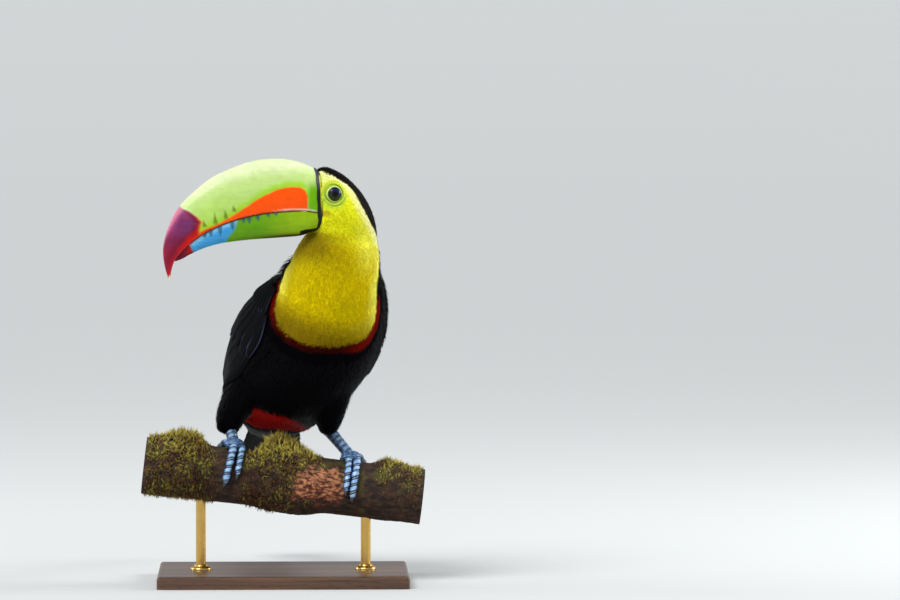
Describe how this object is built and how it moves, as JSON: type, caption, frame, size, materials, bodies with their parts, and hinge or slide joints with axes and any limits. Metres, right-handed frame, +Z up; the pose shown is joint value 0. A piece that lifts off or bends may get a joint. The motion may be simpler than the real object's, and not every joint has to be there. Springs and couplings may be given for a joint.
{
  "type": "keel-billed toucan on a display stand",
  "caption": "Life-size keel-billed toucan looking back over its shoulder, perched on a cut length of mossy branch held up by a plain stand.",
  "frame": {"origin": "centre of the underside of the stand's base", "axes": "+Z up, +X along the branch towards the bird's left foot, +Y towards the tail, so the perch's front faces -Y"},
  "size_m": [0.2274, 0.2958, 0.3391],
  "materials": {
    "plumage": "soft feathers, mostly black with a yellow bib and face, red under the tail and white over it",
    "eye": "wet gloss",
    "bill_horn": "satin horn, green with orange, blue and maroon areas",
    "foot_scales": "blue scaled skin",
    "claw_horn": "dark satin horn",
    "bark": "rough bark with moss",
    "stand_board": "dark satin lacquer",
    "stand_metal": "satin"
  },
  "bodies": {
    "root": {"bill_lower": "bill_horn", "bill_upper": "bill_horn", "claw_left_front_inner": "claw_horn", "claw_left_front_outer": "claw_horn", "claw_left_rear_inner": "claw_horn", "claw_left_rear_outer": "claw_horn", "claw_right_front_inner": "claw_horn", "claw_right_front_outer": "claw_horn", "claw_right_rear_inner": "claw_horn", "claw_right_rear_outer": "claw_horn", "eye_left": "eye", "eye_right": "eye", "head": "plumage", "neck": "plumage", "perch": "bark", "stand_base": "stand_board", "stand_rod_left": "stand_metal", "stand_rod_right": "stand_metal", "tail": "plumage", "tarsus_left": "foot_scales", "tarsus_right": "foot_scales", "thigh_left": "plumage", "thigh_right": "plumage", "toe_left_front_inner": "foot_scales", "toe_left_front_outer": "foot_scales", "toe_left_rear_inner": "foot_scales", "toe_left_rear_outer": "foot_scales", "toe_right_front_inner": "foot_scales", "toe_right_front_outer": "foot_scales", "toe_right_rear_inner": "foot_scales", "toe_right_rear_outer": "foot_scales", "trunk": "plumage", "wing_left": "plumage", "wing_right": "plumage"}
  },
  "joints": []
}
